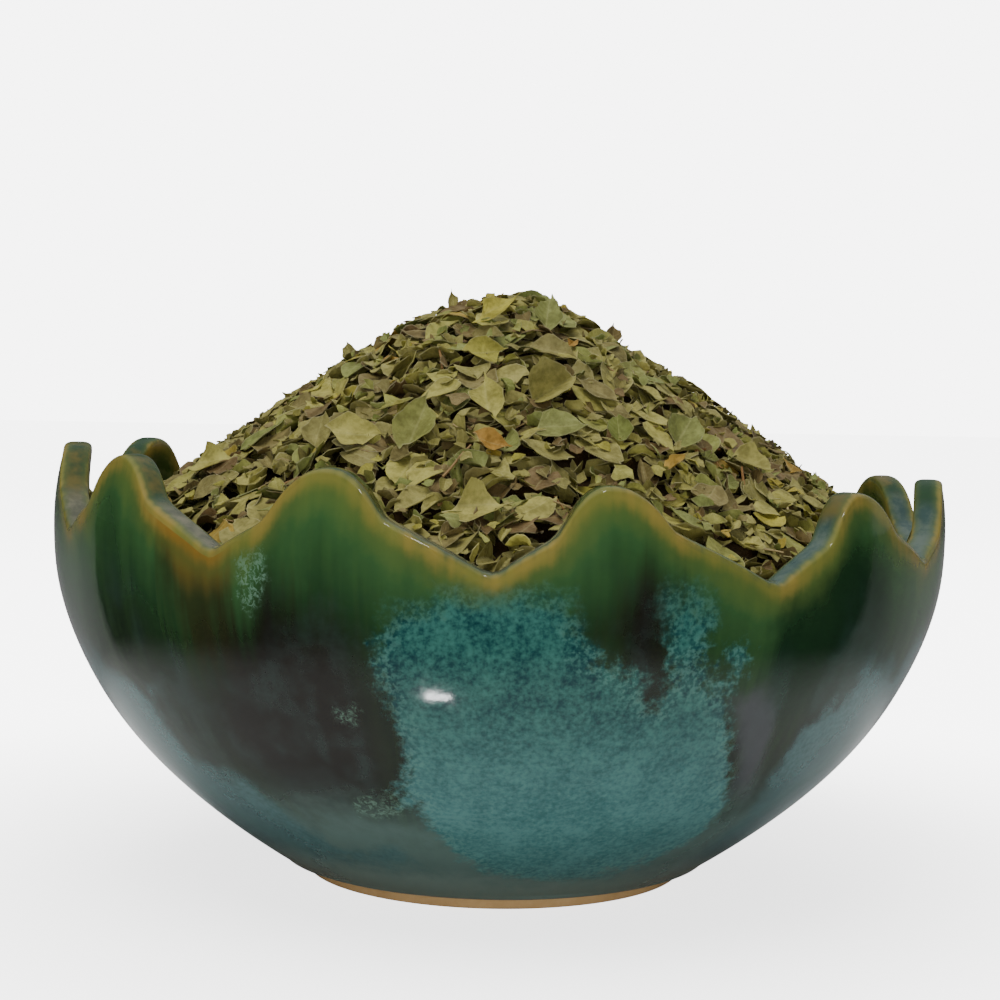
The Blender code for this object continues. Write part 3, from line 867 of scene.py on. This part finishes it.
# A kind of leaf bit: how many shapes it has, its sizes, how it bends, and how finely it is built.
Kind = namedtuple(
    "Kind", "name shapes length slimness start end fold roll curl twist slant ragged steps rows"
)
WHOLE = Kind("whole_leaves", 30, (7.6, 11.8), (0.54, 0.76), (0.0, 0.1), (0.92, 1.0),
             (-0.2, 0.95), (-0.5, 0.8), (-1.1, 1.1), (-0.7, 0.7), 0.12, 0.07, 7, 4)
BROKEN = Kind("broken_leaves", 36, (5.5, 11.0), (0.55, 0.95), (0.0, 0.45), (0.6, 1.0),
              (-0.35, 1.0), (-0.9, 1.3), (-1.4, 1.4), (-0.9, 0.9), 0.32, 0.12, 5, 4)
CURLED = Kind("curled_leaves", 30, (4.5, 8.5), (0.3, 0.56), (0.0, 0.2), (0.7, 1.0),
              (0.4, 1.4), (0.6, 2.6), (-1.7, 1.7), (-1.3, 1.3), 0.15, 0.07, 5, 3)
FLAKE = Kind("leaf_flakes", 28, (2.4, 5.2), (0.4, 0.9), (0.1, 0.45), (0.6, 0.95),
             (-0.5, 0.9), (-0.8, 1.6), (-1.5, 1.5), (-1.0, 1.0), 0.3, 0.1, 3, 2)
LEAF_THICKNESS = 0.15
CORNER_SHARPNESS = 50.0
CLOUD_SPACING = 0.5

# How the bits of stalk, the core under the leaves and the falling of the bits are set.
STALK_SHAPES = 14
STALK_LENGTHS = (3.0, 9.0)
STALK_RADII = (0.16, 0.36)
STALK_BOW = 0.2
STALK_SINK = 0.1
STALK_TILT = 0.15
STALKS_A_COURSE = 10
CORE_RINGS = 34
CORE_COLUMNS = 132
CORE_RISE = 0.6
CORE_LUMPS = ((1.1, 2.6), (0.6, 1.1))
DROP_RADIUS = 82.0
TRIES_A_BIT = 6
TRIES_A_SPOT = 2
FELT_OVER = 0.35
STEEPEST = 1.6
PUSHED_AT_MOST = 4.5
CLEAR_OF_WALL = 0.1
STILL_OVER = 0.2
BURIED_SHADE_TINTS = 0.62
LIES_LEVEL = 0.8
LEVEL_SINK = 0.2
BURIED_ROOM = 2.0

# The leaves that the eye picks out, which are laid last: their spot, size, heading as the front sees
# it, how far they turn from the slope towards the front, tint, bends, and how deep they are pushed in.
Chosen = namedtuple("Chosen", "x y length width heading facing tint fold curl sink")
CHOSEN_LEAVES = tuple(Chosen(*row) for row in (
    (6, -3, 9, 7.5, 62, 0.85, 0.79, 0.35, -0.5, 3.2),
    (-1.6, -16.6, 11, 4.8, 38, 0.5, 0.955, 0.15, 0.4, 0.6),
    (8.5, -18, 9, 5.2, 78, 0.5, 0.87, 0.3, 0.4, 0.6),
    (9.5, -27, 9, 5.5, -12, 0.3, 0.2, 0.3, -0.7, 0.5),
    (-3.4, -31.1, 8.6, 6.2, 6, 0.5, 0.935, 0.1, 0.35, 0.5),
    (9, -39.4, 11, 8.2, 36, 0.6, 0.45, 1.05, 0.3, 0.9),
    (-2.8, -45.5, 8.8, 6.2, 97, 0.6, 0.66, 0.1, 0.2, 0.7),
    (10.3, -47.7, 10.5, 6.2, 6, 0.4, 0.88, 0.05, 0.3, 0.5),
    (-14.9, -49.3, 12, 7.4, 74, 0.6, 0.89, 0.3, 0.3, 0.8),
    (-1.9, -53.9, 7, 4.4, -20, 0.5, 1, 0.3, 0.6, 0.4),
    (20.9, -46.2, 5.8, 4.4, 92, 0.7, 0.8, 0.5, 0.2, 0.6),
    (-4.1, -66, 11, 8, 4, 0.6, 0.55, 0.3, 0.35, 0.6),
    (33.2, -39.7, 9, 6.8, 55, 0.5, 0.86, 0.3, 0.4, 0.6),
    (31.2, -50.8, 5, 3.6, 60, 0.5, 0.99, 0.4, 0.4, 0.4),
    (-26.5, -46, 11, 7, -4, 0.5, 0.6, 0.15, 0.3, 0.6),
    (-33, -41.5, 8.2, 5.2, 84, 0.6, 0.3, 0.2, 0.2, 0.6),
    (-54, -28, 10, 6.2, 14, 0.4, 0.62, 0.3, 0.3, 0.9),
    (46, -36, 9, 6, -30, 0.4, 0.5, 0.3, 0.4, 0.6),
    (-10, -4, 5, 2.2, 96, 1, 0.3, 0.6, 0.5, 1.2),
    (22, -3, 5.2, 3.6, 84, 1, 0.1, 0.5, 0.4, 2),
    (-31, 4, 6, 3.2, 110, 0.9, 0.3, 0.4, 0.5, 1.6),
    (18, 30, 11, 7.4, 20, 0, 0.66, 0.3, 0.5, 0.6),
    (-12, 44, 10, 7, 70, 0, 0.935, 0.2, 0.4, 0.6),
    (38, 22, 10.5, 7.2, 140, 0, 0.87, 0.4, 0.4, 0.6),
    (-44, 20, 10, 6.6, 40, 0, 0.5, 0.2, 0.5, 0.6),
))
CHOSEN_STEPS = 9
CHOSEN_ROWS = 6
TO_THE_FRONT = Vector((0.0, -1.0, 0.3))

LEAF_TONES = (
    (0.0, (98, 78, 46)),
    (0.1, (114, 100, 60)),
    (0.22, (125, 119, 67)),
    (0.46, (142, 136, 74)),
    (0.66, (154, 148, 74)),
    (0.78, (112, 120, 58)),
    (0.88, (120, 124, 66)),
    (0.955, (154, 146, 56)),
    (1.0, (150, 114, 46)),
)
LEAF_RIM_TONE = (186, 180, 142)
LEAF_SEED = 41

# The heap is filled in courses: the kind and how many bits, how deep they sink, how far below the full
# mound a spot must be, and how they tilt.
COURSES = (
    (FLAKE, 900, 0.3, 3.6, 0.3),
    (CURLED, 800, 0.4, 3.2, 0.3),
    (BROKEN, 800, 0.5, 2.4, 0.22),
    (WHOLE, 450, 0.5, 1.9, 0.16),
    (CURLED, 700, 0.4, 1.4, 0.3),
    (FLAKE, 700, 0.3, 1.2, 0.35),
    (BROKEN, 650, 0.5, 0.9, 0.2),
    (WHOLE, 420, 0.5, 0.6, 0.14),
    (CURLED, 600, 0.3, 0.4, 0.45),
    (BROKEN, 350, 0.5, 0.3, 0.18),
    (CURLED, 300, 0.3, 0.0, 0.5),
    (FLAKE, 900, 0.25, -0.3, 0.5),
)


def make_shapes(kind, rng):
    """The kind's blades, each with its mesh and its cloud of points."""
    shapes = []
    for index in range(kind.shapes):
        length = rng.uniform(*kind.length)
        width = length * rng.uniform(*kind.slimness)
        spreads = (kind.start, kind.end, kind.fold, kind.roll, kind.curl, kind.twist)
        bends = [rng.uniform(*spread) for spread in spreads]
        slant = rng.uniform(-kind.slant, kind.slant)
        blade = Blade(length, width, *bends, slant, kind.ragged, rng.uniform(0.0, 90.0))
        mesh = blade_mesh(f"{kind.name}_{index}", blade, kind.steps, kind.rows, LEAF_THICKNESS)
        shapes.append((mesh, blade_cloud(blade), length))
    return shapes


def let_down(pile, cloud, x, y, reach, rng, tilt):
    """Where a bit comes to rest at this spot, between flat on the slope and level, touching what is
    under it: the lower of two tries."""
    best = None
    for _ in range(TRIES_A_SPOT):
        lean = Vector((rng.gauss(0.0, tilt), rng.gauss(0.0, tilt), 0.0))
        level = LIES_LEVEL * rng.random()
        upright = (pile.upright(x, y, reach).lerp(Vector((0.0, 0.0, 1.0)), level) + lean).normalized()
        turn = Matrix.Rotation(rng.uniform(0.0, math.tau), 3, "Z")
        rotation = upright.to_track_quat("Z", "Y").to_matrix() @ turn
        spread, lift = rest_on(pile, cloud, x, y, rotation)
        if best is None or lift < best[0]:
            best = lift, rotation, spread, level
    return best


def rest_on(pile, cloud, x, y, rotation):
    """A turned bit's points where it touches the pile at this spot, and how high it then lies."""
    spread = cloud @ np.array(rotation).T
    return spread, pile.settle(spread, x, y)


def push_in(spread):
    """How far a bit has to move towards the axis to stay clear of the wall."""
    radius = np.hypot(spread[:, 0], spread[:, 1])
    return float(np.max(radius - inside_limit(spread[:, 2])))


def fill_heap(pile, shapes, count, rng, sink, room_needed, tilt):
    """Lets bits of one kind down at random spots that still have room, and returns their places."""
    placed = []
    for _ in range(count * TRIES_A_BIT):
        if len(placed) == count:
            break
        mesh, cloud, length = rng.choice(shapes)
        radius = DROP_RADIUS * math.sqrt(rng.random())
        angle = rng.uniform(0.0, math.tau)
        x, y = radius * math.sin(angle), -radius * math.cos(angle)
        if pile.room(x, y) < room_needed:
            continue
        lift, rotation, spread, level = let_down(pile, cloud, x, y, FELT_OVER * length, rng, tilt)
        depth = sink + LEVEL_SINK * level * length
        over = push_in(spread)
        if over > 0.0:
            if over > PUSHED_AT_MOST:
                continue
            shift = Vector((-x, -y)).normalized() * (over + CLEAR_OF_WALL)
            x, y = x + shift.x, y + shift.y
            lift += pile.settle(spread, shift.x, shift.y)
            if push_in(spread) > STILL_OVER:
                continue
        spread[:, 2] -= depth
        if pile.proud(spread) > STANDS_PROUD or np.max(spread[:, 2]) > HIGHEST_LEAF:
            continue
        pile.raise_to(spread)
        place = Matrix.Translation((x, y, lift - depth)) @ rotation.to_4x4()
        # Bits of the buried courses take only the darker, browner tints: painted shade for the deeper
        # leaves.
        tint = rng.random() * (BURIED_SHADE_TINTS if room_needed > BURIED_ROOM else 1.0)
        placed.append((mesh, Matrix.Scale(MM, 4) @ place, tint))
    return placed


def lay_chosen(pile):
    """The chosen leaves in their places on the full heap, each torn and twisted a little otherwise."""
    placed = []
    for index, leaf in enumerate(CHOSEN_LEAVES):
        torn = 0.07 * math.sin(5.0 * index)
        blade = Blade(leaf.length, leaf.width, 0.07 + 1.8 * abs(torn), 0.95 - 1.2 * abs(torn), leaf.fold,
                      0.7, leaf.curl, 9.0 * torn, 3.4 * torn, 0.19, 7.0 * index)
        mesh = blade_mesh(f"chosen_{index}", blade, CHOSEN_STEPS, CHOSEN_ROWS, LEAF_THICKNESS)
        slope = pile.upright(leaf.x, leaf.y, 0.5 * leaf.length)
        upright = slope.lerp(TO_THE_FRONT, leaf.facing).normalized()
        turn = Matrix.Rotation(math.radians(leaf.heading), 3, "Z")
        rotation = upright.to_track_quat("Z", "Y").to_matrix() @ turn
        spread, lift = rest_on(pile, blade_cloud(blade), leaf.x, leaf.y, rotation)
        lift -= max(leaf.sink, np.max(spread[:, 2]) - HIGHEST_LEAF)
        place = Matrix.Translation((leaf.x, leaf.y, lift)) @ rotation.to_4x4()
        placed.append((mesh, Matrix.Scale(MM, 4) @ place, leaf.tint))
    return placed


def gather(name, placed, material):
    """All placed bits of one kind as one piece."""
    bm = bmesh.new()
    for mesh, place, tint in placed:
        bit = mesh.copy()
        bit.transform(place)
        bit.attributes["tint"].data.foreach_set("value", [tint] * len(bit.vertices))
        bm.from_mesh(bit)
        bpy.data.meshes.remove(bit)
    piece = add_piece(name, bm, material, "leaf_heap")
    piece.data.set_sharp_from_angle(angle=math.radians(CORNER_SHARPNESS))


def stalk_mesh(name, length, radius, bow):
    """A bit of stalk: a thin six-sided stick, a little bowed."""
    bm = bmesh.new()
    for layer in ("along", "across"):
        bm.verts.layers.float.new(layer)
    lying = Matrix.Rotation(math.radians(90.0), 4, "Y")
    bmesh.ops.create_cone(bm, cap_ends=True, segments=6, radius1=radius, radius2=0.75 * radius,
                          depth=length, matrix=lying)
    sides = [edge for edge in bm.edges if edge.calc_length() > 0.5 * length]
    bmesh.ops.subdivide_edges(bm, edges=sides, cuts=3)
    for vert in bm.verts:
        share = vert.co.x / length
        vert.co.z += bow * length * (0.25 - share * share)
        vert.co.y += 0.6 * bow * length * math.sin(4.0 * share)
    mesh = finished_mesh(name, bm)
    mesh.attributes.new("tint", "FLOAT", "POINT")
    return mesh


def make_stalks(rng):
    shapes = []
    for index in range(STALK_SHAPES):
        length = rng.uniform(*STALK_LENGTHS)
        radius = rng.uniform(*STALK_RADII)
        mesh = stalk_mesh(f"stalk_{index}", length, radius, rng.uniform(-STALK_BOW, STALK_BOW))
        steps = np.linspace(-0.5 * length, 0.5 * length, int(length / 0.4))
        cloud = np.stack((steps, 0.0 * steps, 0.0 * steps + radius), axis=1)
        shapes.append((mesh, cloud, length))
    return shapes


def build_core(material):
    """The mass of leaves under the ones that show: it fills the bowl up to their layer."""
    limit = [inner_point(row, WALL_GAP) for row in wall_rows(INSIDE_START, 60.0, 12)]
    edge_height = heap_height(0.0, 80.0) - LAYER_DEPTH
    edge_radius = float(inside_limit(edge_height)) - 0.4
    filling = [tuple(point) for point in limit if point.y < edge_height - 2.0]
    rings = [edge_radius * (1.0 - step / CORE_RINGS) for step in range(1, CORE_RINGS)]
    bottom = FLOOR_HEIGHT + FLOOR_RISE + WALL_GAP
    outline = [
        (0.0, bottom),
        (FLOOR_RADIUS - WALL_GAP, bottom),
        *[point for point in filling if point[1] > bottom + 0.5],
        (edge_radius, edge_height),
        *[(radius, edge_height + 1.0) for radius in rings],
        (0.0, edge_height + 1.0),
    ]
    bm = turn_outline(outline, CORE_COLUMNS)
    for vert in bm.verts:
        if vert.co.z > edge_height + 0.5:
            rough = sum(size * noise.noise(vert.co / spacing) for size, spacing in CORE_LUMPS)
            vert.co.z = heap_height(vert.co.x, vert.co.y) - LAYER_DEPTH + CORE_RISE + rough
    bmesh.ops.scale(bm, vec=(MM, MM, MM), verts=bm.verts)
    add_piece("leaf_mass", bm, material, "leaf_heap")


def leaf_material(mottle, grain):
    """Dry leaf skin: each leaf has its own tone, with a midrib, side veins, blotches and a pale rim."""
    material, nodes, shader, place = new_material("dry_thyme_leaf")
    along = nodes.attribute("along")
    spread = nodes.math("ABSOLUTE", nodes.attribute("across"))

    colour = nodes.ramp(nodes.attribute("tint"), LEAF_TONES)
    blotches = nodes.group(mottle, Vector=place, Scale=330.0, Contrast=2.0)["Fac"]
    colour = nodes.mix(nodes.step(blotches, 0.15, 0.85, 0.0, 0.55), colour, (92, 86, 40), "MULTIPLY")
    midrib = nodes.step(spread, 0.09, 0.02, 0.0, 0.13)
    colour = nodes.mix(midrib, colour, (170, 166, 112))
    slant = nodes.plus(nodes.times(along, 34.0), nodes.times(spread, -9.0))
    veins = nodes.times(nodes.math("SINE", slant), 0.5)
    from_middle = nodes.math("ABSOLUTE", nodes.math("SUBTRACT", nodes.times(along, 2.0), 1.0))
    rim = nodes.step(nodes.math("MAXIMUM", spread, from_middle), 0.93, 1.0, 0.0, 0.3)
    rim = nodes.times(rim, nodes.step(blotches, 0.3, 0.65))
    colour = nodes.mix(rim, colour, LEAF_RIM_TONE)

    relief = nodes.plus(nodes.times(veins, 0.25), nodes.times(midrib, 0.8))
    relief = nodes.plus(relief, nodes.group(grain, Vector=place, Scale=1400.0)["Height"])
    roughness = nodes.step(blotches, 0.2, 0.8, 0.58, 0.78)
    finish(nodes, shader, colour, roughness, nodes.bump(relief, 0.5, 0.00025))
    return material


def stalk_material(grain):
    material, nodes, shader, place = new_material("dry_stalk")
    tone = nodes.mix(nodes.attribute("tint"), (176, 160, 112), (120, 84, 44))
    fibre = nodes.group(grain, Vector=nodes.stretch(place, (1.0, 1.0, 0.5)), Scale=1800.0)["Height"]
    finish(nodes, shader, nodes.mix(fibre, tone, (70, 52, 26)), 0.7, nodes.bump(fibre, 0.5, 0.0002))
    return material


def mass_material(mottle, grain):
    material, nodes, shader, place = new_material("shaded_leaf_mass")
    blotches = nodes.group(mottle, Vector=place, Scale=420.0, Contrast=2.4)["Fac"]
    # Brown-black: painted shade for the deep gaps between the leaves.
    tone = nodes.mix(blotches, (40, 26, 14), (70, 54, 28))
    height = nodes.group(grain, Vector=place, Scale=700.0)["Height"]
    finish(nodes, shader, tone, 0.9, nodes.bump(height, 0.8, 0.0008))
    return material


def build_heap(mottle, grain):
    rng = random.Random(LEAF_SEED)
    leaf = leaf_material(mottle, grain)
    build_core(mass_material(mottle, grain))
    pile = Pile()
    shapes = {kind.name: make_shapes(kind, rng) for kind in (WHOLE, BROKEN, CURLED, FLAKE)}
    stalks, sticks = make_stalks(rng), []
    placed = {name: [] for name in shapes}
    for kind, count, sink, room_needed, tilt in COURSES:
        placed[kind.name] += fill_heap(pile, shapes[kind.name], count, rng, sink, room_needed, tilt)
        sticks += fill_heap(pile, stalks, STALKS_A_COURSE, rng, STALK_SINK, room_needed, STALK_TILT)
    placed["whole_leaves"] += lay_chosen(pile)
    for name, bits in placed.items():
        gather(name, bits, leaf)
    gather("stalks", sticks, stalk_material(grain))


# The setting

def build_floor():
    """White to the camera, with a painted soft shadow where it dims close to the bowl; painted dark in the
    glaze's reflections, least close to the bowl and most in front of it.
    """
    bm = bmesh.new()
    bmesh.ops.create_grid(bm, x_segments=4, y_segments=4, size=4.0)
    mesh = finished_mesh("floor", bm)
    material, nodes, shader, place = new_material("pale_floor")
    tone = nodes.mix(nodes.noise(place, 6.0, 3.0), (222, 222, 220), (228, 228, 226))
    path = nodes.node("ShaderNodeLightPath").outputs
    away = nodes.node("ShaderNodeVectorMath", {0: place}, operation="LENGTH").outputs["Value"]
    spot = nodes.axes(place)
    sideways = nodes.times(nodes.math("ABSOLUTE", spot["X"]), -0.51)
    sideways = nodes.plus(sideways, nodes.times(spot["X"], 0.19))
    in_front = nodes.step(nodes.plus(spot["Y"], sideways), -0.075, -0.1)
    # Only in the glaze's reflections the floor is painted dark, a painted reflection of a dim surround:
    # least close to the bowl, most in front of it.
    dimmed = nodes.times(nodes.step(away, 0.115, 0.18, 0.35, 1.0), nodes.mix_value(in_front, 0.74, 1.0))
    painted_reflection_dark = nodes.times(path["Is Glossy Ray"], dimmed)
    nodes.feed(shader.inputs["Base Color"], nodes.mix(painted_reflection_dark, tone, (48, 48, 50)))
    shader.inputs["Roughness"].default_value = 0.8
    shader.inputs["Specular IOR Level"].default_value = 0.0
    shader.inputs["Emission Color"].default_value = shader_colour(255, 255, 255)
    # To the camera the floor shines, less close to the bowl: a painted soft shadow under it.
    emission_with_painted_shadow = nodes.step(away, 0.05, 0.22, 2.6, 5.6)
    nodes.feed(shader.inputs["Emission Strength"], nodes.times(path["Is Camera Ray"], emission_with_painted_shadow))
    mesh.materials.append(material)
    put_in_scene("floor", mesh)


def build_world():
    """A white room to the camera. To the bowl it is bright above, grey behind and dim in front."""
    world = bpy.data.worlds.new("studio")
    world.use_nodes = True
    bpy.context.scene.world = world
    nodes = Nodes(world.node_tree)
    direction = nodes.axes(nodes.node("ShaderNodeTexCoord").outputs["Generated"])
    turned = nodes.plus(direction["Y"], nodes.times(direction["X"], 0.156))
    behind = nodes.step(turned, 0.41, 0.48)
    overhead = nodes.step(direction["Z"], 0.45, 0.9)
    rightward = nodes.step(direction["X"], -0.4, 0.4)
    back_tone = nodes.mix(rightward, (86, 94, 90), (146, 152, 154))
    light = nodes.mix(behind, (44, 44, 46), back_tone)
    light = nodes.mix(overhead, light, (205, 206, 208))
    seen = nodes.node("ShaderNodeLightPath").outputs["Is Camera Ray"]
    light = nodes.mix(seen, light, (255, 255, 255))
    background = world.node_tree.nodes["Background"]
    nodes.feed(background.inputs["Color"], light)
    nodes.feed(background.inputs["Strength"], nodes.mix_value(seen, 1.0, 6.5))


def add_softbox(name, place, aim, size, power, glossy=True, diffuse=True):
    light = bpy.data.lights.new(name, "AREA")
    light.shape = "RECTANGLE"
    light.size, light.size_y = (side * MM for side in size)
    light.energy = power
    box = put_in_scene(name, light)
    start, end = Vector(place) * MM, Vector(aim) * MM
    box.location = start
    box.rotation_euler = (end - start).to_track_quat("-Z", "Y").to_euler()
    box.visible_camera = False
    box.visible_glossy = glossy
    box.visible_diffuse = diffuse


def build_lights():
    add_softbox("overhead_softbox", (-160.0, -260.0, 900.0), (0.0, 0.0, 70.0), (700.0, 600.0), 9.5,
                glossy=False)
    add_softbox("front_fill", (0.0, -1000.0, 120.0), (0.0, 0.0, 40.0), (900.0, 240.0), 5.0, glossy=False)
    add_softbox("rear_softbox", (150.0, 700.0, 650.0), (0.0, 0.0, 80.0), (500.0, 400.0), 4.0, glossy=False)
    add_softbox("rim_glints", (140.0, -480.0, 700.0), (0.0, 0.0, 75.0), (60.0, 60.0), 0.6, diffuse=False)
    add_softbox("glint", (-22.0, -119.0, 1.0), (-9.5, -83.0, 46.4), (9.0, 4.0), 0.0065, diffuse=False)


def build_camera():
    data = bpy.data.cameras.new("camera")
    data.sensor_width = SENSOR_WIDTH
    data.lens = FOCAL_PIXELS * SENSOR_WIDTH / PHOTO_WIDTH
    camera = put_in_scene("camera", data)
    pitch = Matrix.Rotation(math.radians(90.0 - CAMERA_PITCH), 4, "X")
    roll = Matrix.Rotation(math.radians(CAMERA_ROLL), 4, "Z")
    camera.matrix_world = Matrix.Translation(Vector(CAMERA_PLACE) * MM) @ pitch @ roll
    bpy.context.scene.camera = camera


def main():
    mottle, grain = mottle_group(), grain_group()
    build_bowl(glaze_material(mottle, grain))
    build_heap(mottle, grain)
    build_floor()
    build_world()
    build_lights()
    build_camera()


main()
